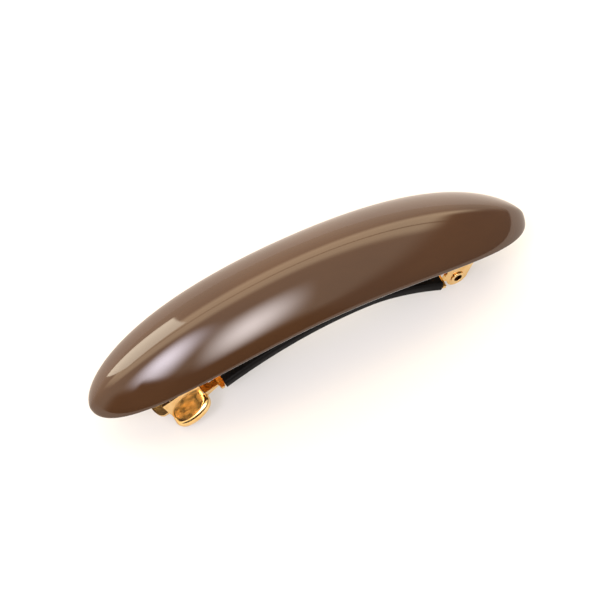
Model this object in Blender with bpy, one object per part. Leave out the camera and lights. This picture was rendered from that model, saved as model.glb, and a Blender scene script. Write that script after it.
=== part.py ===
"""Oval hair barrette: a domed, arched cover on a gold spring clip.

Metres, +Z up. X runs along the barrette with the clasp end at -X and the hinge
end at +X, Y runs across it, and the barrette stands on z = 0 on the tongue of its
clamp arm, with the finger tabs and the hinge ears just above. The cover, the base
bar and the clamp arm are three arches over one another: hair lies between the base
bar and the clamp arm. The arm turns on the tubular pin in the base bar's ears and
closes between the two finger tabs.
"""
import math

import bmesh
import bpy
from mathutils import Matrix, Vector

# --- cover -------------------------------------------------------------------
COVER_HALF_ARC = 0.05306      # half length, measured along the widest line
COVER_HALF_WIDTH = 0.01087    # half of the greatest width
COVER_DOME = 0.0073           # crest above the widest line, at the middle
COVER_BELLY = 0.0032          # underside below the widest line, at the middle
COVER_RADIUS = 0.1075         # arch of the widest line
PLAN_POWER = 3.6              # fullness of the oval seen from above
DOME_POWER = 1.86             # how soon the dome falls away to the tips
BELLY_POWER = 2.5             # the same for the underside
SECTION_POWER = 1.32          # 1 is a roof, 2 is an ellipse
CREST_SOFTNESS = 0.16         # rounds the crest line, as a share of the width
UNDERSIDE_POWER = 2.0         # 2 is an elliptical underside, more is flatter
COVER_STATIONS = 56           # sections along the length
COVER_SPAN = 16               # facets across one side of the top or underside

# --- fits --------------------------------------------------------------------
SEAT_GAP = 0.0003             # between plates that lie on each other
SHEET_GAP = 0.00015           # between the layers inside the sleeve
RIVET_PLAY = 0.00015          # round a rivet's shank
PIN_PLAY = 0.0001             # round the hinge pin
JOIN_STEP = 0.00005           # keeps the faces of joined shapes apart
CORNER_STEP = 0.0002          # length over which a strip steps from one width to another

# --- base bar ----------------------------------------------------------------
BAR_RADIUS = 0.100            # arch of the bar's middle surface
BAR_THICKNESS = 0.0007
BAR_HALF_WIDTH = 0.0045
BAR_CLASP_REACH = 0.0385      # arc length from the middle to the clasp end
BAR_HINGE_REACH = 0.0388      # arc length from the middle to the hinge end
BAR_CORNER = 0.0012           # how far the bar's corners are cut back across it
BAR_CORNER_LENGTH = 0.002     # and along it
EAR_STATION = 0.0356          # arc length from the middle to the ears' centre
EAR_OUTER = 0.0050            # outer face of an ear, from the middle plane
EAR_THICKNESS = 0.0007
EAR_TOP_BACK = 0.0031         # ear's root, towards the middle of the bar
EAR_TOP_FRONT = 0.0028        # ear's root, towards the bar's end
EAR_FOOT_BACK = 0.0037        # ear's square foot, towards the middle
EAR_FOOT_RISE = 0.0006        # foot's corner below the pin's centre
EAR_LOBE_RADIUS = 0.0025      # round lobe about the pin
EAR_LOBE_END = math.radians(372)
EAR_LOBE_STEPS = 18
EAR_LOBE_STEP = math.radians(8)

# --- hinge pin ---------------------------------------------------------------
PIN_DROP = 0.0073             # pin below the bar's middle surface
PIN_RADIUS = 0.00125
PIN_BORE = 0.00092
PIN_FLARE = 0.00155
PIN_FLARE_THICKNESS = 0.00025

# --- rivets ------------------------------------------------------------------
RIVET_RADIUS = 0.0009
RIVET_HEAD = 0.0017
RIVET_HEAD_HEIGHT = 0.0005
RIVET_GRIP = 0.0018           # how far a fixing rivet stands into the cover
RIVET_CROWN = 0.55            # flat top of a head, as a share of its radius
RIVET_ROUND = 0.88            # where the head's round side begins, likewise
FIXING_STATIONS = {
    "fixing_rivet_clasp_end": -0.022,
    "fixing_rivet_middle": 0.0,
    "fixing_rivet_hinge_end": 0.022,
}
CLASP_RIVET_HEAD = 0.0016
CLASP_RIVET_HEAD_HEIGHT = 0.0004
LEAF_RIVET_RADIUS = 0.0006
LEAF_RIVET_HEAD = 0.0011
LEAF_RIVET_HEAD_HEIGHT = 0.0003
LEAF_RIVET_PLACE = 0.3        # share of the way from the shoulder to the knuckle

# --- clamp arm ---------------------------------------------------------------
ARM_DROP = 0.00715            # arm's middle surface below the bar's
ARM_CENTRE = 0.0015           # where the arm's arch peaks, along X
ARM_RADIUS = 0.095
ARM_THICKNESS = 0.0007
ARM_WAIST = 0.00475           # half width where the sleeve is narrowest
WAIST_PLACE = 0.012           # of the narrowest place, along X
WAIST_POWER = 1.7
ARM_FLARE = 0.0067            # half width at the sleeve's ends
SHOULDER_HALF_WIDTH = 0.0072
SHOULDER_LENGTH = 0.0009
ARM_CLASP_SHOULDER = -0.0248  # outer edges of the two shoulders, along X
ARM_HINGE_SHOULDER = 0.0282
NECK_HALF_WIDTH = 0.0039
KNUCKLE_RADIUS = 0.0021
KNUCKLE_LEAN = math.radians(6)
TONGUE_HALF_WIDTH = 0.0061
TONGUE_SLOPE = math.radians(20)
TONGUE_LENGTH = 0.0148        # along its slope, from the shoulder
NOTCH_DEPTH = 0.0010          # room at each side for a jaw that is pinched
NOTCH_START = 0.0036          # along the tongue, from the shoulder
NOTCH_LENGTH = 0.0095
TONGUE_END_POWER = 0.75       # 1 is a half round end, less is squarer
TONGUE_END_STEPS = 8
FLANGE_DEPTH = 0.0014         # turned-down edge of the tongue at its deep end
FLANGE_THICKNESS = 0.0006

# --- grip sleeve and tension leaf --------------------------------------------
SLEEVE_WALL = 0.00055
SLEEVE_CORNER = 0.0008        # round of its outer corners
SLEEVE_INNER_CORNER = 0.0002
LEAF_THICKNESS = 0.0003
LEAF_SIDE_ROOM = 0.0013       # between the leaf and the tongue's turned-down edges
LEAF_HALF_WIDTH = TONGUE_HALF_WIDTH - FLANGE_THICKNESS - LEAF_SIDE_ROOM
LEAF_HOOK = 0.0009            # how far its end turns down into the tongue's slot
SLOT_LENGTH = 0.0014
SLOT_START = 0.0004           # along the tongue, from the shoulder

# --- clasp -------------------------------------------------------------------
CLASP_STATION = -0.0354       # arc length from the middle to the clasp's centre
PLATE_HALF_WIDTH = 0.0060
PLATE_THICKNESS = 0.0006
PLATE_HALF_LENGTH = 0.0036
PLATE_CORNER = 0.0008
JAW_INNER = 0.0064            # inner face of a jaw, from the middle plane
JAW_THICKNESS = 0.0006
JAW_BACK_TOP = 0.0047         # jaw's edge towards the middle, at its top
JAW_BACK_FOOT = 0.0040
JAW_FRONT = 0.0038            # jaw's edge towards the tip
TAB_DROP = 0.0067             # tab's top face below the bar's middle surface
TAB_TILT = math.radians(12)   # tab slopes away from the bar towards the tip
TAB_HALF_LENGTH = 0.0044
TAB_REACH = 0.0031            # how far it stands out from the jaw
TAB_HEIGHT = 0.0018           # height of the turned-down rim
TAB_RIM = 0.0007              # its thickness
TAB_ROUND = 0.0009            # round of its top edge
TAB_FOOT_ROUND = 0.0003       # round of its bottom edge
TAB_ROUND_STEPS = 6
TAB_OUTLINE_POWER = 0.62      # 1 is a half ellipse, less is a fuller D

FACETS = 32                   # round a pin or a rivet
BAR_STEPS = 40                # sections along the bar
ARM_STEPS = 28                # sections along the arm inside the sleeve
LEAF_STEPS = 24
SLEEVE_STEPS = 30
TAB_STEPS = 28                # round a finger tab's outline


# --- small helpers -----------------------------------------------------------
def clear_scene():
    """Remove every object."""
    for item in list(bpy.data.objects):
        bpy.data.objects.remove(item, do_unlink=True)


def make_material(name, colour, roughness, metallic):
    """A Principled material of one colour."""
    material = bpy.data.materials.new(name)
    material.use_nodes = True
    shader = material.node_tree.nodes["Principled BSDF"]
    shader.inputs["Base Color"].default_value = (*colour, 1.0)
    shader.inputs["Roughness"].default_value = roughness
    shader.inputs["Metallic"].default_value = metallic
    return material


def make_object(name, mesh_builder, material, origin=Vector((0, 0, 0))):
    """Turn a bmesh into an object whose own origin is at the given point."""
    bmesh.ops.recalc_face_normals(mesh_builder, faces=mesh_builder.faces)
    bmesh.ops.translate(mesh_builder, vec=-origin, verts=mesh_builder.verts)
    mesh = bpy.data.meshes.new(name)
    mesh_builder.to_mesh(mesh)
    mesh_builder.free()
    mesh.shade_smooth()
    mesh.set_sharp_from_angle(angle=math.radians(35))
    item = bpy.data.objects.new(name, mesh)
    item.location = origin
    if material is not None:
        mesh.materials.append(material)
    bpy.context.scene.collection.objects.link(item)
    return item


def combine(target, tool, operation):
    """Join or cut with a helper object that isn't a part itself."""
    tool.hide_render = True
    tool.display_type = "WIRE"
    modifier = target.modifiers.new(operation.lower(), "BOOLEAN")
    modifier.operation = operation
    modifier.solver = "EXACT"
    modifier.object = tool


def loft(sections, closed_ends=True):
    """A skin over sections that have the same number of corners."""
    builder = bmesh.new()
    rings = [[builder.verts.new(point) for point in section] for section in sections]
    for first, second in zip(rings, rings[1:]):
        count = len(first)
        for index in range(count):
            after = (index + 1) % count
            builder.faces.new((first[index], first[after], second[after], second[index]))
    if closed_ends:
        builder.faces.new(list(reversed(rings[0])))
        builder.faces.new(rings[-1])
    return builder


def turned(profile, matrix):
    """A turned piece: (radius, height) corners spun about the local Z axis."""
    builder = bmesh.new()
    rings = []
    for radius, height in profile:
        ring = []
        for step in range(FACETS):
            angle = 2 * math.pi * step / FACETS
            spot = Vector((radius * math.cos(angle), radius * math.sin(angle), height))
            ring.append(builder.verts.new(matrix @ spot))
        rings.append(ring)
    return builder, rings


def turned_solid(profile, matrix):
    """A turned piece whose first and last corners end in flat discs."""
    builder, rings = turned(profile, matrix)
    for first, second in zip(rings, rings[1:]):
        for index in range(FACETS):
            after = (index + 1) % FACETS
            builder.faces.new((first[index], first[after], second[after], second[index]))
    builder.faces.new(list(reversed(rings[0])))
    builder.faces.new(rings[-1])
    return builder


def turned_tube(profile, matrix):
    """A turned piece whose closed profile never meets the axis."""
    builder, rings = turned(profile, matrix)
    for first, second in zip(rings, rings[1:] + rings[:1]):
        for index in range(FACETS):
            after = (index + 1) % FACETS
            builder.faces.new((first[index], first[after], second[after], second[index]))
    return builder


def prism(outline, low_y, high_y):
    """Extrude an outline of (x, z) corners along Y."""
    near = [Vector((x, low_y, z)) for x, z in outline]
    far = [Vector((x, high_y, z)) for x, z in outline]
    return loft([near, far])


def arc_points(centre, radius, start, end, steps):
    """Corners along an arc, angles in radians."""
    points = []
    for step in range(steps + 1):
        angle = start + (end - start) * step / steps
        points.append((centre[0] + radius * math.cos(angle), centre[1] + radius * math.sin(angle)))
    return points


def rounded_box(half_width, low, high, corner, steps=3):
    """Corners of a rectangle with round corners, as (y, height)."""
    corners = [
        (half_width - corner, high - corner, 0.0),
        (-half_width + corner, high - corner, 0.5),
        (-half_width + corner, low + corner, 1.0),
        (half_width - corner, low + corner, 1.5),
    ]
    points = []
    for y, height, turn in corners:
        start = turn * math.pi
        points += arc_points((y, height), corner, start, start + 0.5 * math.pi, steps)
    return points


# --- arches and frames -------------------------------------------------------
def bar_mid_height():
    """Height of the bar's middle surface at x = 0, from the cover's widest line."""
    return -COVER_BELLY - SEAT_GAP - BAR_THICKNESS / 2


def bar_frame(station, drop=0.0):
    """Frame on the bar: X along it, Y across, Z away from the arm, at a given drop."""
    angle = station / BAR_RADIUS
    along = Vector((math.cos(angle), 0, -math.sin(angle)))
    out = Vector((math.sin(angle), 0, math.cos(angle)))
    centre = Vector((0, 0, bar_mid_height() - BAR_RADIUS))
    origin = centre + out * (BAR_RADIUS - drop)
    matrix = Matrix((along, Vector((0, 1, 0)), out)).transposed().to_4x4()
    matrix.translation = origin
    return matrix


def pin_centre():
    """The hinge axis's place in the middle plane."""
    return bar_frame(EAR_STATION, PIN_DROP).translation


def arm_frame(x):
    """Frame on the arm's arch above a given x."""
    angle = math.asin((x - ARM_CENTRE) / ARM_RADIUS)
    along = Vector((math.cos(angle), 0, -math.sin(angle)))
    out = Vector((math.sin(angle), 0, math.cos(angle)))
    peak = bar_mid_height() - ARM_DROP
    centre = Vector((ARM_CENTRE, 0, peak - ARM_RADIUS))
    matrix = Matrix((along, Vector((0, 1, 0)), out)).transposed().to_4x4()
    matrix.translation = centre + out * ARM_RADIUS
    return matrix


def tongue_frame(distance):
    """Frame on the straight tongue, a distance out from the clasp shoulder."""
    root = arm_frame(ARM_CLASP_SHOULDER).translation
    along = Vector((math.cos(TONGUE_SLOPE), 0, math.sin(TONGUE_SLOPE)))
    out = Vector((-math.sin(TONGUE_SLOPE), 0, math.cos(TONGUE_SLOPE)))
    matrix = Matrix((along, Vector((0, 1, 0)), out)).transposed().to_4x4()
    matrix.translation = root - along * distance
    return matrix


def waist_share(x):
    """0 at the arm's waist and 1 at either end of the sleeve."""
    low = ARM_CLASP_SHOULDER + SHOULDER_LENGTH
    high = ARM_HINGE_SHOULDER - SHOULDER_LENGTH
    reach = high - WAIST_PLACE if x > WAIST_PLACE else WAIST_PLACE - low
    return abs(x - WAIST_PLACE) / reach


def arm_half_width(x):
    """Half width of the arm inside the sleeve: waisted nearer the hinge."""
    return ARM_WAIST + (ARM_FLARE - ARM_WAIST) * waist_share(x) ** WAIST_POWER


def flat_section(frame, half_width, low, high):
    """Four corners of a strip's section."""
    corners = [(-half_width, low), (half_width, low), (half_width, high), (-half_width, high)]
    return [frame @ Vector((0, y, z)) for y, z in corners]


# --- cover -------------------------------------------------------------------
def cover_section(share):
    """The cover's outline at a share of its half length, -1 to 1."""
    length = abs(share)
    half_width = COVER_HALF_WIDTH * math.sqrt(1 - length ** PLAN_POWER)
    dome = COVER_DOME * math.sqrt(1 - length ** DOME_POWER)
    belly = COVER_BELLY * math.sqrt(1 - length ** BELLY_POWER)
    angle = share * COVER_HALF_ARC / COVER_RADIUS
    centre = Vector((0, 0, -COVER_RADIUS))
    out = Vector((math.sin(angle), 0, math.cos(angle)))
    soft = CREST_SOFTNESS ** SECTION_POWER
    full = (1 + CREST_SOFTNESS ** 2) ** (SECTION_POWER / 2) - soft
    points = []
    for step in range(-COVER_SPAN, COVER_SPAN):
        across = math.sin(0.5 * math.pi * step / COVER_SPAN)
        fall = ((across ** 2 + CREST_SOFTNESS ** 2) ** (SECTION_POWER / 2) - soft) / full
        rise = dome * max(0.0, 1 - fall) ** (1 / SECTION_POWER)
        points.append(centre + out * (COVER_RADIUS + rise) + Vector((0, half_width * across, 0)))
    for step in range(COVER_SPAN, -COVER_SPAN, -1):
        across = math.sin(0.5 * math.pi * step / COVER_SPAN)
        sink = belly * (1 - abs(across) ** UNDERSIDE_POWER) ** (1 / UNDERSIDE_POWER)
        points.append(centre + out * (COVER_RADIUS - sink) + Vector((0, half_width * across, 0)))
    return points


def cover_tip(side):
    """The cover's end point, on its widest line."""
    angle = side * COVER_HALF_ARC / COVER_RADIUS
    return Vector((COVER_RADIUS * math.sin(angle), 0, COVER_RADIUS * (math.cos(angle) - 1)))


def build_cover(material):
    """Solid domed oval with blind holes for the fixing rivets."""
    shares = [math.sin(0.5 * math.pi * (2 * n / COVER_STATIONS - 1)) for n in range(1, COVER_STATIONS)]
    builder = loft([cover_section(share) for share in shares], closed_ends=False)
    builder.verts.ensure_lookup_table()
    count = 4 * COVER_SPAN
    for side, start in ((-1, 0), (1, (len(shares) - 1) * count)):
        tip = builder.verts.new(cover_tip(side))
        builder.verts.ensure_lookup_table()
        for index in range(count):
            first = builder.verts[start + index]
            second = builder.verts[start + (index + 1) % count]
            builder.faces.new((tip, first, second))
    cover = make_object("cover", builder, material)
    for name, station in FIXING_STATIONS.items():
        frame = bar_frame(station)
        depth = rivet_top() + SEAT_GAP
        radius = RIVET_RADIUS + RIVET_PLAY
        hole = turned_solid([(radius, 0.0), (radius, depth)], frame)
        combine(cover, make_object("hole_for_" + name, hole, None), "DIFFERENCE")
    return cover


# --- base bar, rivets and pin ------------------------------------------------
def rivet_top():
    """End of a fixing rivet's shank above the bar's middle surface."""
    return BAR_THICKNESS / 2 + SEAT_GAP + RIVET_GRIP


def ear_outline():
    """An ear's side view: root, square foot behind, round lobe about the pin."""
    frame = bar_frame(EAR_STATION)
    foot = PIN_DROP + EAR_FOOT_RISE
    meet = EAR_LOBE_RADIUS * math.cos(math.asin(EAR_FOOT_RISE / EAR_LOBE_RADIUS))
    corners = [(-EAR_TOP_BACK, 0.0), (-EAR_FOOT_BACK, -foot), (-meet, -foot)]
    start = math.pi + math.asin(EAR_FOOT_RISE / EAR_LOBE_RADIUS) + EAR_LOBE_STEP
    corners += arc_points((0.0, -PIN_DROP), EAR_LOBE_RADIUS, start, EAR_LOBE_END, EAR_LOBE_STEPS)
    corners.append((EAR_TOP_FRONT, 0.0))
    points = [frame @ Vector((x, 0, z)) for x, z in corners]
    return [(point.x, point.z) for point in points]


def build_base_bar(material):
    """Arched strip with two ears folded down at its hinge end."""
    sections = []
    low = -BAR_CLASP_REACH
    for step in range(BAR_STEPS + 1):
        station = low + (BAR_HINGE_REACH - low) * step / BAR_STEPS
        end = min(station - low, BAR_HINGE_REACH - station)
        half = BAR_HALF_WIDTH - BAR_CORNER * max(0.0, 1 - end / BAR_CORNER_LENGTH) ** 2
        frame = bar_frame(station)
        sections.append(flat_section(frame, half, -BAR_THICKNESS / 2, BAR_THICKNESS / 2))
    bar = make_object("base_bar", loft(sections), material)
    for side in (-1, 1):
        inner = side * (EAR_OUTER - EAR_THICKNESS)
        ear = prism(ear_outline(), inner, side * EAR_OUTER)
        combine(bar, make_object("ear_blank", ear, None), "UNION")
    wings = [
        flat_section(bar_frame(EAR_STATION + offset), EAR_OUTER, -BAR_THICKNESS / 2, BAR_THICKNESS / 2)
        for offset in (-EAR_TOP_BACK, 0.0, EAR_TOP_FRONT)
    ]
    combine(bar, make_object("ear_root_blank", loft(wings), None), "UNION")
    drill_bar(bar)
    return bar


def drill_bar(bar):
    """Holes for the fixing rivets, the clasp rivet and the hinge pin."""
    radius = RIVET_RADIUS + RIVET_PLAY
    reach = 3 * BAR_THICKNESS
    for station in list(FIXING_STATIONS.values()) + [CLASP_STATION]:
        hole = turned_solid([(radius, -reach), (radius, reach)], bar_frame(station))
        combine(bar, make_object("bar_hole", hole, None), "DIFFERENCE")
    bore = PIN_RADIUS + PIN_PLAY
    hole = turned_solid([(bore, -2 * EAR_OUTER), (bore, 2 * EAR_OUTER)], across_matrix(pin_centre()))
    combine(bar, make_object("pin_hole", hole, None), "DIFFERENCE")


def across_matrix(centre):
    """Frame at a point with its Z axis along the world's Y."""
    return Matrix.Translation(centre) @ Matrix.Rotation(-math.pi / 2, 4, "X")


def head_profile(radius, height, seat, way):
    """Low domed head from its crown to its seat; way is -1 below the seat and 1 above."""
    return [
        (radius * RIVET_CROWN, seat + way * height),
        (radius * RIVET_ROUND, seat + way * height * 0.7),
        (radius, seat + way * height * 0.3),
        (radius, seat),
    ]


def build_fixing_rivets(material):
    """Headed pins that hold the bar to the cover."""
    rivets = []
    under = -BAR_THICKNESS / 2 - SHEET_GAP
    for name, station in FIXING_STATIONS.items():
        profile = head_profile(RIVET_HEAD, RIVET_HEAD_HEIGHT, under, -1)
        profile += [(RIVET_RADIUS, under), (RIVET_RADIUS, rivet_top())]
        rivets.append(make_object(name, turned_solid(profile, bar_frame(station)), material))
    return rivets


def build_hinge_pin(material):
    """Tubular pin with both ends flared over the ears."""
    face = EAR_OUTER + PIN_PLAY
    end = face + PIN_FLARE_THICKNESS
    lip = PIN_FLARE - PIN_FLARE_THICKNESS / 2
    profile = [
        (PIN_BORE, -end), (lip, -end), (PIN_FLARE, -face - PIN_FLARE_THICKNESS / 2),
        (PIN_FLARE, -face), (PIN_RADIUS, -face), (PIN_RADIUS, face), (PIN_FLARE, face),
        (PIN_FLARE, face + PIN_FLARE_THICKNESS / 2), (lip, end), (PIN_BORE, end),
    ]
    centre = pin_centre()
    return make_object("hinge_pin", turned_tube(profile, across_matrix(centre)), material, centre)


# --- clamp arm and what is on it ---------------------------------------------
def tongue_stations():
    """(distance from the shoulder, half width) along the tongue to its round end."""
    notch_end = NOTCH_START + NOTCH_LENGTH - CORNER_STEP
    narrow = TONGUE_HALF_WIDTH - NOTCH_DEPTH
    stations = [
        (CORNER_STEP, TONGUE_HALF_WIDTH), (NOTCH_START, TONGUE_HALF_WIDTH),
        (NOTCH_START + CORNER_STEP, narrow), (notch_end, narrow),
    ]
    round_length = TONGUE_LENGTH - notch_end
    for index in range(1, TONGUE_END_STEPS):
        angle = 0.5 * math.pi * index / TONGUE_END_STEPS
        distance = notch_end + round_length * math.sin(angle)
        stations.append((distance, narrow * math.cos(angle) ** TONGUE_END_POWER))
    return stations


def build_clamp_arm(material):
    """Waisted strip with a notched tongue at one end and a knuckle at the other."""
    low, high = -ARM_THICKNESS / 2, ARM_THICKNESS / 2
    sections = []
    for distance, half in reversed(tongue_stations()):
        sections.append(flat_section(tongue_frame(distance), half, low, high))
    start = ARM_CLASP_SHOULDER
    end = ARM_HINGE_SHOULDER
    for x in (start, start + SHOULDER_LENGTH - CORNER_STEP):
        sections.append(flat_section(arm_frame(x), SHOULDER_HALF_WIDTH, low, high))
    inner_start = start + SHOULDER_LENGTH
    inner_end = end - SHOULDER_LENGTH
    for index in range(ARM_STEPS + 1):
        x = inner_start + (inner_end - inner_start) * index / ARM_STEPS
        sections.append(flat_section(arm_frame(x), arm_half_width(x), low, high))
    for x in (end - SHOULDER_LENGTH + CORNER_STEP, end):
        sections.append(flat_section(arm_frame(x), SHOULDER_HALF_WIDTH, low, high))
    sections.append(flat_section(arm_frame(end + CORNER_STEP), NECK_HALF_WIDTH, low, high))
    sections.append(flat_section(knuckle_top(), NECK_HALF_WIDTH, low, high))
    origin = pin_centre()
    arm = make_object("clamp_arm", loft(sections), material, origin)
    knuckle = turned_solid(
        [(KNUCKLE_RADIUS, JOIN_STEP - NECK_HALF_WIDTH), (KNUCKLE_RADIUS, NECK_HALF_WIDTH - JOIN_STEP)],
        across_matrix(origin))
    combine(arm, make_object("knuckle_blank", knuckle, None, origin), "UNION")
    for side in (-1, 1):
        combine(arm, make_object("flange_blank", tongue_flange(side), None), "UNION")
    bore = PIN_RADIUS + PIN_PLAY
    hole = turned_solid([(bore, -2 * EAR_OUTER), (bore, 2 * EAR_OUTER)], across_matrix(origin))
    combine(arm, make_object("knuckle_bore", hole, None, origin), "DIFFERENCE")
    slot = loft([
        flat_section(tongue_frame(distance), LEAF_HALF_WIDTH + SEAT_GAP, 3 * low, 3 * high)
        for distance in (SLOT_START, SLOT_START + SLOT_LENGTH)
    ])
    combine(arm, make_object("leaf_slot", slot, None), "DIFFERENCE")
    radius = LEAF_RIVET_RADIUS + RIVET_PLAY
    hole = turned_solid([(radius, 4 * low), (radius, 4 * high)], leaf_rivet_frame())
    combine(arm, make_object("leaf_rivet_hole", hole, None), "DIFFERENCE")
    return arm


def knuckle_top():
    """Frame where the neck meets the top of the knuckle."""
    out = Vector((math.sin(KNUCKLE_LEAN), 0, math.cos(KNUCKLE_LEAN)))
    along = Vector((math.cos(KNUCKLE_LEAN), 0, -math.sin(KNUCKLE_LEAN)))
    matrix = Matrix((along, Vector((0, 1, 0)), out)).transposed().to_4x4()
    matrix.translation = pin_centre() + out * (KNUCKLE_RADIUS - 2 * JOIN_STEP - ARM_THICKNESS / 2)
    return matrix


def leaf_rivet_frame():
    """Frame on the neck, between the shoulder and the knuckle."""
    start = arm_frame(ARM_HINGE_SHOULDER)
    end = knuckle_top()
    along = (end.translation - start.translation).normalized()
    out = Vector((-along.z, 0, along.x))
    matrix = Matrix((along, Vector((0, 1, 0)), out)).transposed().to_4x4()
    matrix.translation = start.translation.lerp(end.translation, LEAF_RIVET_PLACE)
    return matrix


def tongue_flange(side):
    """Turned-down edge of the tongue, deep at the clasp and gone at the shoulder."""
    outer = side * (TONGUE_HALF_WIDTH - JOIN_STEP)
    inner = side * (TONGUE_HALF_WIDTH - FLANGE_THICKNESS)
    sections = []
    top = ARM_THICKNESS / 2 - 2 * JOIN_STEP
    shallow = ARM_THICKNESS / 2 + 2 * JOIN_STEP
    for distance, depth in ((SLOT_START, shallow), (NOTCH_START - JOIN_STEP, FLANGE_DEPTH)):
        frame = tongue_frame(distance)
        corners = [(inner, -depth), (outer, -depth), (outer, top), (inner, top)]
        sections.append([frame @ Vector((0, y, z)) for y, z in corners])
    return loft(sections)


def leaf_base():
    """Underside of the tension leaf above the arm's middle surface."""
    return ARM_THICKNESS / 2 + SHEET_GAP


def build_tension_leaf(material):
    """Thin spring strip over the arm: riveted at the neck, hooked into the tongue."""
    low = leaf_base()
    high = low + LEAF_THICKNESS
    root = tongue_frame(SLOT_START + SLOT_LENGTH / 2)
    half = LEAF_THICKNESS / 2
    corners = [
        (-half, -LEAF_HALF_WIDTH), (-half, LEAF_HALF_WIDTH),
        (half, LEAF_HALF_WIDTH), (half, -LEAF_HALF_WIDTH),
    ]
    levels = (low - LEAF_HOOK, high)
    hook = loft([[root @ Vector((x, y, level)) for x, y in corners] for level in levels])
    strip = [flat_section(root, LEAF_HALF_WIDTH, low, high)]
    start = ARM_CLASP_SHOULDER
    end = ARM_HINGE_SHOULDER
    for index in range(LEAF_STEPS + 1):
        x = start + (end - start) * index / LEAF_STEPS
        strip.append(flat_section(arm_frame(x), LEAF_HALF_WIDTH, low, high))
    rivet = leaf_rivet_frame()
    tail = rivet @ Matrix.Translation((LEAF_RIVET_HEAD, 0, 0))
    strip.append(flat_section(rivet, LEAF_RIVET_HEAD + LEAF_RIVET_RADIUS, low, high))
    strip.append(flat_section(tail, LEAF_RIVET_HEAD, low, high))
    leaf = make_object("tension_leaf", loft(strip), material, pin_centre())
    combine(leaf, make_object("leaf_hook_blank", hook, None), "UNION")
    radius = LEAF_RIVET_RADIUS + RIVET_PLAY
    hole = turned_solid([(radius, 0.0), (radius, 3 * high)], rivet)
    combine(leaf, make_object("leaf_hole", hole, None), "DIFFERENCE")
    return leaf


def build_leaf_rivet(material):
    """Small rivet through the leaf and the arm's neck."""
    top = leaf_base() + LEAF_THICKNESS + SHEET_GAP
    under = -ARM_THICKNESS / 2 - SHEET_GAP
    profile = head_profile(LEAF_RIVET_HEAD, LEAF_RIVET_HEAD_HEIGHT, under, -1)
    profile += [(LEAF_RIVET_RADIUS, under), (LEAF_RIVET_RADIUS, top)]
    profile += reversed(head_profile(LEAF_RIVET_HEAD, LEAF_RIVET_HEAD_HEIGHT, top, 1))
    return make_object("leaf_rivet", turned_solid(profile, leaf_rivet_frame()), material, pin_centre())


def sleeve_levels():
    """The sleeve's inner floor and ceiling about the arm's middle surface."""
    floor = -ARM_THICKNESS / 2 - SHEET_GAP
    ceiling = leaf_base() + LEAF_THICKNESS + SHEET_GAP
    return floor, ceiling


def build_grip_sleeve(material):
    """Open-ended rubber tube round the arm and the leaf."""
    floor, ceiling = sleeve_levels()
    start = ARM_CLASP_SHOULDER + SHOULDER_LENGTH + SHEET_GAP
    end = ARM_HINGE_SHOULDER - SHOULDER_LENGTH - SHEET_GAP
    builder = bmesh.new()
    rings = []
    for index in range(SLEEVE_STEPS + 1):
        x = start + (end - start) * index / SLEEVE_STEPS
        inside = arm_half_width(x) + SHEET_GAP
        outside = inside + SLEEVE_WALL
        frame = arm_frame(x)
        outer = rounded_box(outside, floor - SLEEVE_WALL, ceiling + SLEEVE_WALL, SLEEVE_CORNER)
        inner = rounded_box(inside, floor, ceiling, SLEEVE_INNER_CORNER)
        rings.append([
            [builder.verts.new(frame @ Vector((0, y, z))) for y, z in outline]
            for outline in (outer, inner)
        ])
    count = len(rings[0][0])
    for first, second in zip(rings, rings[1:]):
        for layer in (0, 1):
            for index in range(count):
                after = (index + 1) % count
                low, high = first[layer], second[layer]
                builder.faces.new((low[index], low[after], high[after], high[index]))
    for outer, inner in (rings[0], rings[-1]):
        for index in range(count):
            after = (index + 1) % count
            builder.faces.new((outer[index], outer[after], inner[after], inner[index]))
    return make_object("grip_sleeve", builder, material, pin_centre())


# --- clasp -------------------------------------------------------------------
def plate_top():
    """Top of the clasp plate below the bar's middle surface."""
    return BAR_THICKNESS / 2 + SEAT_GAP


def build_clasp_plate(material):
    """Flat spring-steel plate under the bar's clasp end."""
    frame = bar_frame(CLASP_STATION)
    top = -plate_top()
    outline = rounded_box(PLATE_HALF_WIDTH, -PLATE_HALF_LENGTH, PLATE_HALF_LENGTH, PLATE_CORNER)
    sections = [
        [frame @ Vector((x, y, level)) for y, x in outline] for level in (top - PLATE_THICKNESS, top)
    ]
    plate = make_object("clasp_plate", loft(sections), material)
    radius = RIVET_RADIUS + RIVET_PLAY
    hole = turned_solid([(radius, -3 * plate_top()), (radius, 0.0)], frame)
    combine(plate, make_object("plate_hole", hole, None), "DIFFERENCE")
    return plate


def build_clasp_rivet(material):
    """Rivet through the bar and the clasp plate."""
    top = BAR_THICKNESS / 2 + SHEET_GAP
    under = -plate_top() - PLATE_THICKNESS - SHEET_GAP
    profile = head_profile(CLASP_RIVET_HEAD, CLASP_RIVET_HEAD_HEIGHT, under, -1)
    profile += [(RIVET_RADIUS, under), (RIVET_RADIUS, top)]
    profile += reversed(head_profile(CLASP_RIVET_HEAD, CLASP_RIVET_HEAD_HEIGHT, top, 1))
    return make_object("clasp_rivet", turned_solid(profile, bar_frame(CLASP_STATION)), material)


def jaw_axis(side):
    """Fold line of a jaw: a frame on the jaw's middle, level with the plate."""
    drop = plate_top() + PLATE_THICKNESS / 2
    middle = side * (JAW_INNER + JAW_THICKNESS / 2)
    return bar_frame(CLASP_STATION, drop) @ Matrix.Translation((0, middle, 0))


def tab_frame():
    """Frame on the finger tabs' top faces, tilted from the bar."""
    return bar_frame(CLASP_STATION, TAB_DROP) @ Matrix.Rotation(-TAB_TILT, 4, "Y")


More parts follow.
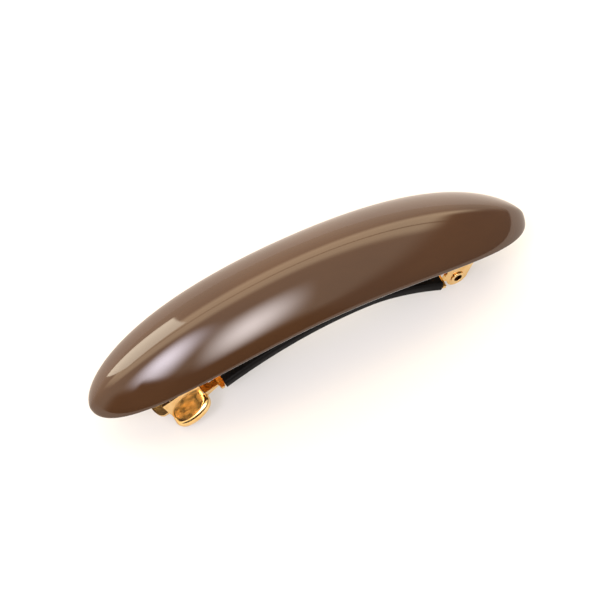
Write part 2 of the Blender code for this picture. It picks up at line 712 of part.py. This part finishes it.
def tab_outline(inset, root):
    """A D about a jaw: straight along its root and round outwards, as (x, distance from the middle)."""
    outer = JAW_INNER + JAW_THICKNESS
    length = TAB_HALF_LENGTH - inset
    reach = TAB_REACH - inset
    points = [(length, root)]
    for step in range(1, TAB_STEPS):
        angle = math.pi * step / TAB_STEPS
        points.append((length * math.cos(angle), outer + reach * math.sin(angle) ** TAB_OUTLINE_POWER))
    return points + [(-length, root)]


def tab_levels():
    """(inset, level) down the outside of the tab's rounded rim."""
    levels = []
    for step in range(TAB_ROUND_STEPS + 1):
        angle = 0.5 * math.pi * step / TAB_ROUND_STEPS
        levels.append((TAB_ROUND * (1 - math.sin(angle)), TAB_ROUND * (math.cos(angle) - 1)))
    foot = -TAB_HEIGHT + TAB_FOOT_ROUND
    for step in range(3):
        angle = 0.25 * math.pi * step
        levels.append((TAB_FOOT_ROUND * (1 - math.cos(angle)), foot - TAB_FOOT_ROUND * math.sin(angle)))
    return levels


def build_finger_tab(name, side, material):
    """Jaw of the clasp with its D-shaped finger tab, which has a rounded, turned-down rim."""
    frame = bar_frame(CLASP_STATION)
    outer = JAW_INNER + JAW_THICKNESS
    drop_slope = math.tan(TAB_TILT)
    corners = [
        (-JAW_FRONT, -plate_top()), (JAW_BACK_TOP, -plate_top()),
        (JAW_BACK_FOOT, -TAB_DROP + drop_slope * JAW_BACK_FOOT - TAB_RIM),
        (-JAW_FRONT, -TAB_DROP - drop_slope * JAW_FRONT - TAB_RIM),
    ]
    faces = [
        [frame @ Vector((x, side * y, z)) for x, z in corners] for y in (JAW_INNER, outer)
    ]
    origin = jaw_axis(side).translation
    jaw = make_object(name, loft(faces), material, origin)
    tilted = tab_frame()
    root = outer - JAW_THICKNESS / 2
    sections = []
    for inset, level in tab_levels():
        sections.append([tilted @ Vector((x, side * y, level)) for x, y in tab_outline(inset, root)])
    combine(jaw, make_object(name + "_blank", loft(sections), None, origin), "UNION")
    pocket = []
    for level in (-TAB_RIM, -2 * TAB_HEIGHT):
        outline = tab_outline(TAB_RIM, outer + SEAT_GAP)
        pocket.append([tilted @ Vector((x, side * y, level)) for x, y in outline])
    combine(jaw, make_object(name + "_pocket", loft(pocket), None, origin), "DIFFERENCE")
    return jaw


# --- assembly ----------------------------------------------------------------
def rest_on_ground(parts):
    """Stand everything on z = 0 under one empty."""
    bpy.context.view_layer.update()
    graph = bpy.context.evaluated_depsgraph_get()
    lowest = 0.0
    for part in parts:
        shape = part.evaluated_get(graph)
        mesh = shape.to_mesh()
        lowest = min([lowest] + [(shape.matrix_world @ vertex.co).z for vertex in mesh.vertices])
        shape.to_mesh_clear()
    root = bpy.data.objects.new("barrette", None)
    root.location = (0, 0, -lowest)
    bpy.context.scene.collection.objects.link(root)
    for item in bpy.data.objects:
        if item is not root and item.parent is None:
            item.parent = root
    bpy.context.view_layer.update()


def main():
    """Build every piece and stand the barrette on its rest plane."""
    clear_scene()
    lacquer = make_material("taupe_acetate", (0.16, 0.105, 0.072), 0.08, 0.0)
    gold = make_material("gold_plate", (0.86, 0.62, 0.30), 0.15, 1.0)
    rubber = make_material("black_silicone", (0.012, 0.011, 0.011), 0.55, 0.0)
    steel = make_material("spring_steel", (0.62, 0.60, 0.56), 0.25, 1.0)
    parts = [build_cover(lacquer), build_base_bar(gold)]
    parts += build_fixing_rivets(gold)
    parts += [build_hinge_pin(gold), build_clamp_arm(gold), build_tension_leaf(steel)]
    parts += [build_leaf_rivet(gold), build_grip_sleeve(rubber)]
    parts += [build_clasp_plate(gold), build_clasp_rivet(gold)]
    parts.append(build_finger_tab("finger_tab_near", -1, gold))
    parts.append(build_finger_tab("finger_tab_far", 1, gold))
    rest_on_ground(parts)


main()
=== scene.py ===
"""Looks of an oval hair barrette: a glossy taupe acetate cover on a gold spring clip.

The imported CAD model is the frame. The cover is made again here as one finely curved, polished
solid. The metal and the rubber sleeve keep their CAD solids, whose edges are softened, and every
piece gets the finish of the real one. X runs along the barrette, Y across it and Z up.
"""

import logging
import math
from dataclasses import dataclass, field
from enum import Enum

import bmesh
import bpy
from mathutils import Matrix, Vector


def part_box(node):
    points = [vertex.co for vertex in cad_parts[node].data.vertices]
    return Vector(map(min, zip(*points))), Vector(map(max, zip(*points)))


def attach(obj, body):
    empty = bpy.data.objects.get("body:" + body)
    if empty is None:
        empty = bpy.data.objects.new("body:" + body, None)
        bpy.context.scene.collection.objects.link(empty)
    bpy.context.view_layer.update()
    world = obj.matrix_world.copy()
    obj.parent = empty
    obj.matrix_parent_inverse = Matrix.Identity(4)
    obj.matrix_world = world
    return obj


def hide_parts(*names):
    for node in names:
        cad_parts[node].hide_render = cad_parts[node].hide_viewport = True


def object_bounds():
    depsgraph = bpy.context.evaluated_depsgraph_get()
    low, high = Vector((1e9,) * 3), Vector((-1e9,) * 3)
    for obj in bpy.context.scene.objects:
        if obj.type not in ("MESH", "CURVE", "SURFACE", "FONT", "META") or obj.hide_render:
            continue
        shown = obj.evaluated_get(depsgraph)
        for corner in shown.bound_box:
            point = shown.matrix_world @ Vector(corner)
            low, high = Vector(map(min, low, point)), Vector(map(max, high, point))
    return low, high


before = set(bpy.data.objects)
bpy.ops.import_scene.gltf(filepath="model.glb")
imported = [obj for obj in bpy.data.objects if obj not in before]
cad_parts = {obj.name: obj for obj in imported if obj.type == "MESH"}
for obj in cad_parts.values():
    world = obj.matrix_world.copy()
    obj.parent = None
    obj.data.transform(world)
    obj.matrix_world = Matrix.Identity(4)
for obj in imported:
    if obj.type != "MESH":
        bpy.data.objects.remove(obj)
CAD_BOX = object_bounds()

MM = 0.001                        # metres in a millimetre
PATTERN_LOW = 0.3                 # a noise pattern's values lie mostly between these two
PATTERN_HIGH = 0.7
log = logging.getLogger("barrette")


# --- shared helpers ----------------------------------------------------------
def linear(colour: str) -> tuple[float, float, float, float]:
    """Turn an sRGB hex colour into Blender's linear colour.

    Args:
        colour: sRGB colour such as "#7A5A42".

    Returns:
        Linear red, green, blue and full alpha.
    """
    channels = [int(colour[start:start + 2], 16) / 255 for start in (1, 3, 5)]
    curve = [c / 12.92 if c <= 0.04045 else ((c + 0.055) / 1.055) ** 2.4 for c in channels]
    return (*curve, 1.0)


def add_node(tree: bpy.types.NodeTree, kind: str, inputs: dict | None = None,
             **settings: object) -> bpy.types.Node:
    """Add a shader node with its settings, values and links.

    Args:
        tree: node tree to add to.
        kind: Blender's name for the node's type.
        inputs: for each input, by name or number, a value or another node's output.
        settings: properties of the node itself.

    Returns:
        The new node.
    """
    node = tree.nodes.new(kind)
    for name, value in settings.items():
        setattr(node, name, value)
    for name, value in (inputs or {}).items():
        if isinstance(value, bpy.types.NodeSocket):
            tree.links.new(value, node.inputs[name])
        else:
            node.inputs[name].default_value = value
    return node


def direction(azimuth: float, elevation: float) -> Vector:
    """Unit vector towards a place round the object.

    Args:
        azimuth: degrees from +Y towards +X.
        elevation: degrees above the table.

    Returns:
        The unit vector.
    """
    turn, rise = math.radians(azimuth), math.radians(elevation)
    return Vector((math.sin(turn) * math.cos(rise), math.cos(turn) * math.cos(rise), math.sin(rise)))


# --- finishes ----------------------------------------------------------------
@dataclass(frozen=True)
class Finish:
    """What all finishes share: a name and the values that are the same all over."""

    name: str
    roughness: float
    metallic: float = 0.0
    ior: float = 1.5

    def begin(self) -> tuple[bpy.types.Material, bpy.types.NodeTree, bpy.types.Node]:
        """Start the material.

        Returns:
            The material, its node tree and its Principled shader.
        """
        material = bpy.data.materials.new(self.name)
        material.use_nodes = True
        tree = material.node_tree
        shader = tree.nodes["Principled BSDF"]
        shader.inputs["Roughness"].default_value = self.roughness
        shader.inputs["Metallic"].default_value = self.metallic
        shader.inputs["IOR"].default_value = self.ior
        return material, tree, shader

    def noise(self, tree: bpy.types.NodeTree, size_mm: float, detail: float = 2.0,
              stretch: tuple[float, float, float] = (1.0, 1.0, 1.0)) -> bpy.types.NodeSocket:
        """Soft random pattern in the object's own space.

        Args:
            tree: node tree to add to.
            size_mm: size of one blotch.
            detail: levels of finer pattern in it.
            stretch: how much longer the blotches are along X, Y and Z.

        Returns:
            The pattern's value, around 0.5.
        """
        place = add_node(tree, "ShaderNodeTexCoord")
        scale = tuple(1 / (size_mm * MM * share) for share in stretch)
        mapping = add_node(tree, "ShaderNodeMapping", {"Vector": place.outputs["Object"], "Scale": scale})
        pattern = add_node(tree, "ShaderNodeTexNoise",
                           {"Vector": mapping.outputs[0], "Scale": 1.0, "Detail": detail})
        return pattern.outputs["Fac"]

    def between(self, tree: bpy.types.NodeTree, value: bpy.types.NodeSocket, low: float,
                high: float) -> bpy.types.NodeSocket:
        """Spread a pattern over a range.

        Args:
            tree: node tree to add to.
            value: the pattern, around 0.5.
            low: result where the pattern is low.
            high: result where the pattern is high.

        Returns:
            The spread value.
        """
        spread = add_node(tree, "ShaderNodeMapRange", {
            "Value": value, "From Min": PATTERN_LOW, "From Max": PATTERN_HIGH, "To Min": low,
            "To Max": high})
        return spread.outputs[0]

    def bump(self, tree: bpy.types.NodeTree, shader: bpy.types.Node,
             *layers: tuple[bpy.types.NodeSocket, float]) -> None:
        """Lay height patterns over one another and link them to the shader.

        Args:
            tree: node tree to add to.
            shader: Principled shader whose normal they change.
            layers: each pattern and its height in millimetres.
        """
        normal = None
        for pattern, height_mm in layers:
            inputs = {"Height": pattern, "Distance": height_mm * MM, "Strength": 1.0}
            if normal is not None:
                inputs["Normal"] = normal
            normal = add_node(tree, "ShaderNodeBump", inputs).outputs[0]
        tree.links.new(normal, shader.inputs["Normal"])


@dataclass(frozen=True)
class PolishedAcetate(Finish):
    """Cellulose acetate, cut from sheet and tumble polished: a deep, wet gloss over a warm body colour."""

    body: str = "#3F2B1B"
    shade: str = "#352317"        # cloudier, darker flow of the pigment
    cloud_mm: float = 14.0        # length of a pigment cloud
    wave_mm: float = 9.0          # the slow waves that tumbling leaves
    wave_height_mm: float = 0.010
    smudge_mm: float = 5.0
    smudge_roughness: float = 0.085

    def make(self) -> bpy.types.Material:
        """Build the material.

        Returns:
            The material.
        """
        material, tree, shader = self.begin()
        cloud = self.noise(tree, self.cloud_mm, 3.0, (2.5, 1.0, 1.0))
        tone = add_node(tree, "ShaderNodeMix", {
            "Factor": self.between(tree, cloud, 0.0, 1.0), "A": linear(self.body),
            "B": linear(self.shade)}, data_type="RGBA")
        tree.links.new(tone.outputs["Result"], shader.inputs["Base Color"])
        smudge = self.noise(tree, self.smudge_mm, 4.0)
        tree.links.new(self.between(tree, smudge, self.roughness, self.smudge_roughness),
                       shader.inputs["Roughness"])
        self.bump(tree, shader, (self.noise(tree, self.wave_mm, 1.0), self.wave_height_mm))
        return material


@dataclass(frozen=True)
class GoldPlate(Finish):
    """Bright gold plate on pressed brass: a warm mirror with faint rolling lines and duller patches."""

    metallic: float = 1.0
    colour: str = "#F7D69B"
    deep: str = "#EDBE72"         # where the plate is thicker
    tone_mm: float = 3.0
    line_mm: float = 0.05         # spacing of the rolling lines
    line_height_mm: float = 0.0004
    dent_mm: float = 1.6          # shallow waves from pressing
    dent_height_mm: float = 0.006
    worn_roughness: float = 0.24

    def make(self) -> bpy.types.Material:
        """Build the material.

        Returns:
            The material.
        """
        material, tree, shader = self.begin()
        patch = self.between(tree, self.noise(tree, self.tone_mm, 2.0), 0.0, 1.0)
        tone = add_node(tree, "ShaderNodeMix", {
            "Factor": patch, "A": linear(self.colour), "B": linear(self.deep)}, data_type="RGBA")
        tree.links.new(tone.outputs["Result"], shader.inputs["Base Color"])
        lines = self.noise(tree, self.line_mm, 2.0, (30.0, 1.0, 4.0))
        dull = self.between(tree, self.noise(tree, self.tone_mm / 2, 4.0), self.roughness,
                            self.worn_roughness)
        tree.links.new(dull, shader.inputs["Roughness"])
        self.bump(tree, shader, (self.noise(tree, self.dent_mm, 0.0), self.dent_height_mm),
                  (lines, self.line_height_mm))
        return material


@dataclass(frozen=True)
class SpringSteel(Finish):
    """Gold-washed strip of spring steel: paler and greyer than the plate, with a long brushed grain."""

    metallic: float = 1.0
    colour: str = "#E3C58F"
    grain: str = "#BFA678"
    grain_mm: float = 0.08
    grain_height_mm: float = 0.002

    def make(self) -> bpy.types.Material:
        """Build the material.

        Returns:
            The material.
        """
        material, tree, shader = self.begin()
        grain = self.noise(tree, self.grain_mm, 3.0, (40.0, 1.0, 1.0))
        tone = add_node(tree, "ShaderNodeMix", {
            "Factor": self.between(tree, grain, 0.0, 1.0), "A": linear(self.colour),
            "B": linear(self.grain)}, data_type="RGBA")
        tree.links.new(tone.outputs["Result"], shader.inputs["Base Color"])
        self.bump(tree, shader, (grain, self.grain_height_mm))
        return material


@dataclass(frozen=True)
class SiliconeRubber(Finish):
    """Moulded black silicone: satin, with a fine spark-eroded grain and a faint dusty bloom."""

    ior: float = 1.41
    gloss: float = 0.14           # the grain breaks up much of the silicone's reflection
    colour: str = "#060505"
    bloom: str = "#0B0A0A"
    grain_mm: float = 0.18
    grain_height_mm: float = 0.012
    bloom_mm: float = 4.0
    bloom_roughness: float = 0.58

    def make(self) -> bpy.types.Material:
        """Build the material.

        Returns:
            The material.
        """
        material, tree, shader = self.begin()
        shader.inputs["Specular IOR Level"].default_value = self.gloss
        bloom = self.noise(tree, self.bloom_mm, 4.0)
        tone = add_node(tree, "ShaderNodeMix", {
            "Factor": self.between(tree, bloom, 0.0, 1.0), "A": linear(self.colour),
            "B": linear(self.bloom)}, data_type="RGBA")
        tree.links.new(tone.outputs["Result"], shader.inputs["Base Color"])
        tree.links.new(self.between(tree, bloom, self.roughness, self.bloom_roughness),
                       shader.inputs["Roughness"])
        self.bump(tree, shader, (self.noise(tree, self.grain_mm, 2.0), self.grain_height_mm))
        return material


@dataclass(frozen=True)
class OpalAcrylic(Finish):
    """Opal acrylic sheet of a light table: white, matt, and glowing a little from below."""

    colour: str = "#A2A1A0"
    glow_colour: str = "#FFFFFF"
    glow: float = 0.35
    grain_mm: float = 1.2
    grain_height_mm: float = 0.01

    def make(self) -> bpy.types.Material:
        """Build the material.

        Returns:
            The material.
        """
        material, tree, shader = self.begin()
        shader.inputs["Base Color"].default_value = linear(self.colour)
        shader.inputs["Emission Color"].default_value = linear(self.glow_colour)
        shader.inputs["Emission Strength"].default_value = self.glow
        shader.inputs["Specular IOR Level"].default_value = 0.0
        self.bump(tree, shader, (self.noise(tree, self.grain_mm, 2.0), self.grain_height_mm))
        return material


class Look(Enum):
    """The finishes of the barrette and its table."""

    ACETATE = PolishedAcetate("tumble_polished_cellulose_acetate", roughness=0.035, ior=1.49)
    GOLD = GoldPlate("bright_gold_plate_on_brass", roughness=0.10)
    RIVETS = GoldPlate("gold_plated_rivet_heads", roughness=0.16, colour="#F0CD90")
    STEEL = SpringSteel("gold_washed_spring_steel", roughness=0.24)
    RUBBER = SiliconeRubber("moulded_black_silicone", roughness=0.42)
    TABLE = OpalAcrylic("opal_acrylic_light_table", roughness=0.9)


# --- meshes ------------------------------------------------------------------
def new_piece(name: str, builder: bmesh.types.BMesh, material: bpy.types.Material) -> bpy.types.Object:
    """Turn a bmesh into a smooth-shaded object.

    Args:
        name: name of the piece.
        builder: its mesh, which is used up.
        material: its finish.

    Returns:
        The new object.
    """
    bmesh.ops.recalc_face_normals(builder, faces=builder.faces)
    mesh = bpy.data.meshes.new(name)
    builder.to_mesh(mesh)
    builder.free()
    mesh.materials.append(material)
    mesh.shade_smooth()
    piece = bpy.data.objects.new(name, mesh)
    bpy.context.scene.collection.objects.link(piece)
    return piece


@dataclass
class SoftEdges:
    """Softens the edges of a CAD solid, as tumbling and plating do, without touching its mesh."""

    width_mm: float = 0.10
    segments: int = 3
    sharper_than: float = 28.0    # degrees between faces that count as an edge
    weld_mm: float = 0.001        # corners nearer than this are one corner
    flatness: int = 80            # how far large faces decide the shading, 50 is by area alone

    def apply(self, piece: bpy.types.Object) -> None:
        """Add the modifiers.

        Args:
            piece: the CAD node's object.
        """
        if "custom_normal" in piece.data.attributes:
            piece.data.attributes.remove(piece.data.attributes["custom_normal"])
        piece.data.shade_smooth()
        weld = piece.modifiers.new("weld", "WELD")
        weld.merge_threshold = self.weld_mm * MM
        bevel = piece.modifiers.new("soft_edges", "BEVEL")
        bevel.width = self.width_mm * MM
        bevel.segments = self.segments
        bevel.limit_method = "ANGLE"
        bevel.angle_limit = math.radians(self.sharper_than)
        bevel.use_clamp_overlap = True
        shading = piece.modifiers.new("flat_faces", "WEIGHTED_NORMAL")
        shading.weight = self.flatness


# --- the barrette ------------------------------------------------------------
@dataclass
class AcetateCover:
    """Solid domed oval that curves with the head."""

    half_arc: float = 53.06 * MM      # half length along the widest line
    half_width: float = 10.87 * MM
    dome: float = 7.3 * MM            # crest above the widest line
    belly: float = 3.2 * MM           # underside below it
    radius: float = 107.5 * MM        # arch of the widest line
    plan_power: float = 3.6           # fullness of the oval
    dome_power: float = 1.86
    belly_power: float = 2.5
    section_power: float = 1.32       # 1 is a roof, 2 an ellipse
    crest_softness: float = 0.16
    underside_power: float = 2.0
    stations: int = 200
    top_facets: int = 96
    under_facets: int = 56
    material: bpy.types.Material | None = None
    widest_height: float = field(init=False)

    def __post_init__(self) -> None:
        """Take the height of the widest line from the CAD cover's crest."""
        self.widest_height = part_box("cover")[1].z - self.dome

    def point(self, share: float, across: float, under: bool) -> Vector:
        """A point of the surface.

        Args:
            share: place along the half length, -1 to 1.
            across: place across the half width, -1 to 1.
            under: whether it is on the underside.

        Returns:
            The point.
        """
        length = min(1.0, abs(share))
        width = self.half_width * math.sqrt(max(0.0, 1 - length ** self.plan_power))
        if under:
            depth = self.belly * math.sqrt(max(0.0, 1 - length ** self.belly_power))
            fall = max(0.0, 1 - abs(across) ** self.underside_power)
            rise = -depth * fall ** (1 / self.underside_power)
        else:
            height = self.dome * math.sqrt(max(0.0, 1 - length ** self.dome_power))
            soft = self.crest_softness ** self.section_power
            full = (1 + self.crest_softness ** 2) ** (self.section_power / 2) - soft
            fall = ((across ** 2 + self.crest_softness ** 2) ** (self.section_power / 2) - soft) / full
            rise = height * max(0.0, 1 - fall) ** (1 / self.section_power)
        angle = share * self.half_arc / self.radius
        out = Vector((math.sin(angle), 0, math.cos(angle)))
        centre = Vector((0, 0, self.widest_height - self.radius))
        return centre + out * (self.radius + rise) + Vector((0, width * across, 0))

    def ring(self, share: float) -> list[Vector]:
        """One section of the cover.

        Args:
            share: place along the half length.

        Returns:
            Its points, across the top and back along the underside.
        """
        quarter = math.pi / 2
        top = [self.point(share, math.sin(quarter * (2 * n / self.top_facets - 1)), False)
               for n in range(self.top_facets)]
        under = [self.point(share, math.sin(quarter * (1 - 2 * n / self.under_facets)), True)
                 for n in range(self.under_facets)]
        return top + under

    def build(self) -> bpy.types.Object:
        """Make the cover.

        Returns:
            The cover, riding on the base.
        """
        builder = bmesh.new()
        shares = [math.sin(math.pi / 2 * (2 * n / self.stations - 1)) for n in range(1, self.stations)]
        rings = [[builder.verts.new(spot) for spot in self.ring(share)] for share in shares]
        count = len(rings[0])
        for first, second in zip(rings, rings[1:]):
            for index in range(count):
                after = (index + 1) % count
                builder.faces.new((first[index], first[after], second[after], second[index]))
        for share, ring in ((-1.0, rings[0]), (1.0, rings[-1])):
            tip = builder.verts.new(self.point(share, 0.0, False))
            for index in range(count):
                builder.faces.new((tip, ring[index], ring[(index + 1) % count]))
        cover = new_piece("acetate_cover", builder, self.material)
        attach(cover, "base")
        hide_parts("cover")
        return cover


@dataclass
class Dressing:
    """A CAD node that keeps its solid and gets a finish."""

    node: str
    look: Look
    edge_mm: float = 0.10

    def dress(self, materials: dict[Look, bpy.types.Material]) -> bpy.types.Object:
        """Soften the node's edges and give it its finish.

        Args:
            materials: the made material of each look.

        Returns:
            The node's object.
        """
        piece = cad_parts[self.node]
        SoftEdges(self.edge_mm).apply(piece)
        piece.data.materials.clear()
        piece.data.materials.append(materials[self.look])
        return piece


@dataclass
class SpringClip:
    """The gold clip: base bar, clasp, hinge, clamp arm and sleeve."""

    pieces: tuple[Dressing, ...] = (
        Dressing("base_bar", Look.GOLD),
        Dressing("fixing_rivet_clasp_end", Look.RIVETS, 0.08),
        Dressing("fixing_rivet_middle", Look.RIVETS, 0.08),
        Dressing("fixing_rivet_hinge_end", Look.RIVETS, 0.08),
        Dressing("hinge_pin", Look.GOLD, 0.05),
        Dressing("clasp_plate", Look.GOLD),
        Dressing("clasp_rivet", Look.RIVETS, 0.08),
        Dressing("finger_tab_near", Look.GOLD, 0.12),
        Dressing("finger_tab_far", Look.GOLD, 0.12),
        Dressing("clamp_arm", Look.GOLD),
        Dressing("tension_leaf", Look.STEEL, 0.04),
        Dressing("leaf_rivet", Look.RIVETS, 0.05),
        Dressing("grip_sleeve", Look.RUBBER, 0.14),
    )

    def build(self, materials: dict[Look, bpy.types.Material]) -> None:
        """Dress every piece.

        Args:
            materials: the made material of each look.
        """
        for dressing in self.pieces:
            dressing.dress(materials)
            log.info("dressed %s in %s", dressing.node, dressing.look.value.name)


# --- the studio --------------------------------------------------------------
GRAZING = 0.001                   # least depth of a ray towards a card, so that it can be divided by


@dataclass(frozen=True)
class LightCard:
    """A lit or black card in the studio, far off, as seen from the object."""

    name: str
    azimuth: float                # degrees from +Y towards +X
    elevation: float
    half_width: float             # degrees
    half_height: float
    softness: float               # share of its half size over which its edge fades
    radiance: float
    colour: str = "#FFFFFF"
    roll: float = 0.0             # degrees, turned about its centre

    def paint(self, tree: bpy.types.NodeTree, way: bpy.types.NodeSocket,
              behind: bpy.types.NodeSocket) -> bpy.types.NodeSocket:
        """Lay the card over what is behind it.

        Args:
            tree: the world's node tree.
            way: direction of each ray.
            behind: radiance of what is behind the card.

        Returns:
            Radiance with the card in front.
        """
        centre = direction(self.azimuth, self.elevation)
        side = centre.cross(Vector((0, 0, 1))).normalized()
        side.rotate(Matrix.Rotation(math.radians(self.roll), 3, centre))
        rise = side.cross(centre)
        depth = add_node(tree, "ShaderNodeVectorMath", {0: way, 1: centre}, operation="DOT_PRODUCT")
        front = add_node(tree, "ShaderNodeMath", {0: depth.outputs["Value"], 1: GRAZING},
                         operation="MAXIMUM")
        mask = add_node(tree, "ShaderNodeMath", {0: depth.outputs["Value"], 1: 0.0},
                        operation="GREATER_THAN")
        for axis, half in ((side, self.half_width), (rise, self.half_height)):
            reach = math.tan(math.radians(half))
            along = add_node(tree, "ShaderNodeVectorMath", {0: way, 1: axis}, operation="DOT_PRODUCT")
            place = add_node(tree, "ShaderNodeMath", {0: along.outputs["Value"], 1: front.outputs[0]},
                             operation="DIVIDE")
            off = add_node(tree, "ShaderNodeMath", {0: place.outputs[0]}, operation="ABSOLUTE")
            fade = add_node(tree, "ShaderNodeMapRange", {
                "Value": off.outputs[0], "From Min": reach * (1 - self.softness), "From Max": reach,
                "To Min": 1.0, "To Max": 0.0}, interpolation_type="SMOOTHSTEP")
            mask = add_node(tree, "ShaderNodeMath", {0: mask.outputs[0], 1: fade.outputs[0]},
                            operation="MULTIPLY")
        light = Vector(linear(self.colour)[:3]) * self.radiance
        over = add_node(tree, "ShaderNodeMix", {
            "Factor": mask.outputs[0], "A": behind, "B": (*light, 1.0)}, data_type="RGBA")
        over.label = self.name
        return over.outputs["Result"]


@dataclass
class Studio:
    """Light table, tent of white cloth with black flags and soft windows, and the camera."""

    material: bpy.types.Material | None = None
    table_size: float = 3.0
    table_cells: int = 8          # squares along each side of its mesh
    tent_radiance: float = 1.3
    tent_colour: str = "#FFF0DC"
    cards: tuple[LightCard, ...] = (
        LightCard("overhead_silk", 12, 60, 68, 37, 0.5, 4.6, "#FFE8C6"),
        LightCard("tent_seam", 19, 64, 72, 2.2, 0.9, 0.3),
        LightCard("black_room_left", -152, 6, 56, 40, 0.4, 0.03),
        LightCard("grey_room_right", 118, 12, 50, 34, 0.4, 0.26),
        LightCard("tall_window", -29, 21, 12, 19, 0.03, 7.9, "#FFF3DC", -27),
        LightCard("soft_box_left", -117, 50, 17, 20, 1.0, 18.5, "#FBF4FF"),
        LightCard("soft_box_front", -171, 51, 19, 18, 1.0, 15.8, "#FFF6F4"),
        LightCard("side_flag", -127, 27, 13, 15, 0.4, 0.05),
    )
    camera_azimuth: float = -27.2     # degrees from -Y towards +X
    camera_elevation: float = 57.7
    camera_distance: float = 0.450
    camera_roll: float = -0.7
    aim_from_middle: tuple[float, float, float] = (-3.36 * MM, -3.30 * MM, 2.35 * MM)
    sensor_mm: float = 36.0
    lens_mm: float = 129.9
    camera_nearest: float = 0.01      # nearest distance that it sees

    def build_table(self) -> None:
        """Lay the table under the barrette."""
        builder = bmesh.new()
        bmesh.ops.create_grid(builder, x_segments=self.table_cells, y_segments=self.table_cells,
                              size=self.table_size / 2)
        table = new_piece("light_table", builder, self.material)
        table.location.z = CAD_BOX[0][2]

    def build_light(self) -> None:
        """Hang the tent and its cards."""
        world = bpy.data.worlds.new("studio_tent")
        world.use_nodes = True
        bpy.context.scene.world = world
        tree = world.node_tree
        tree.nodes.clear()
        place = add_node(tree, "ShaderNodeTexCoord")
        way = add_node(tree, "ShaderNodeVectorMath", {0: place.outputs["Generated"]},
                       operation="NORMALIZE")
        tent = add_node(tree, "ShaderNodeRGB")
        cloth = Vector(linear(self.tent_colour)[:3]) * self.tent_radiance
        tent.outputs[0].default_value = (*cloth, 1.0)
        light = tent.outputs[0]
        for card in self.cards:
            light = card.paint(tree, way.outputs[0], light)
        shader = add_node(tree, "ShaderNodeBackground", {"Color": light, "Strength": 1.0})
        add_node(tree, "ShaderNodeOutputWorld", {"Surface": shader.outputs[0]})

    def build_camera(self) -> None:
        """Set up the camera at the product shot's angle."""
        low, high = (Vector(corner) for corner in CAD_BOX)
        aim = (low + high) / 2 + Vector(self.aim_from_middle)
        back = direction(180 - self.camera_azimuth, self.camera_elevation)
        data = bpy.data.cameras.new("camera")
        data.sensor_width = self.sensor_mm
        data.lens = self.lens_mm
        data.clip_start = self.camera_nearest
        camera = bpy.data.objects.new("camera", data)
        camera.location = aim + back * self.camera_distance
        level = (-back).to_track_quat("-Z", "Y").to_matrix()
        roll = Matrix.Rotation(math.radians(self.camera_roll), 3, "Z")
        camera.rotation_euler = (level @ roll).to_euler()
        bpy.context.scene.collection.objects.link(camera)
        bpy.context.scene.camera = camera

    def build(self) -> None:
        """Set up the whole studio."""
        self.build_table()
        self.build_light()
        self.build_camera()
        bpy.context.scene.view_settings.view_transform = "Standard"
        log.info("set up the studio")


def main() -> None:
    """Build the barrette and its studio."""
    logging.basicConfig(level=logging.INFO, format="%(name)s: %(message)s")
    materials = {look: look.value.make() for look in Look}
    cover = AcetateCover(material=materials[Look.ACETATE]).build()
    log.info("built %s", cover.name)
    SpringClip().build(materials)
    Studio(material=materials[Look.TABLE]).build()


if __name__ == "__main__":
    main()
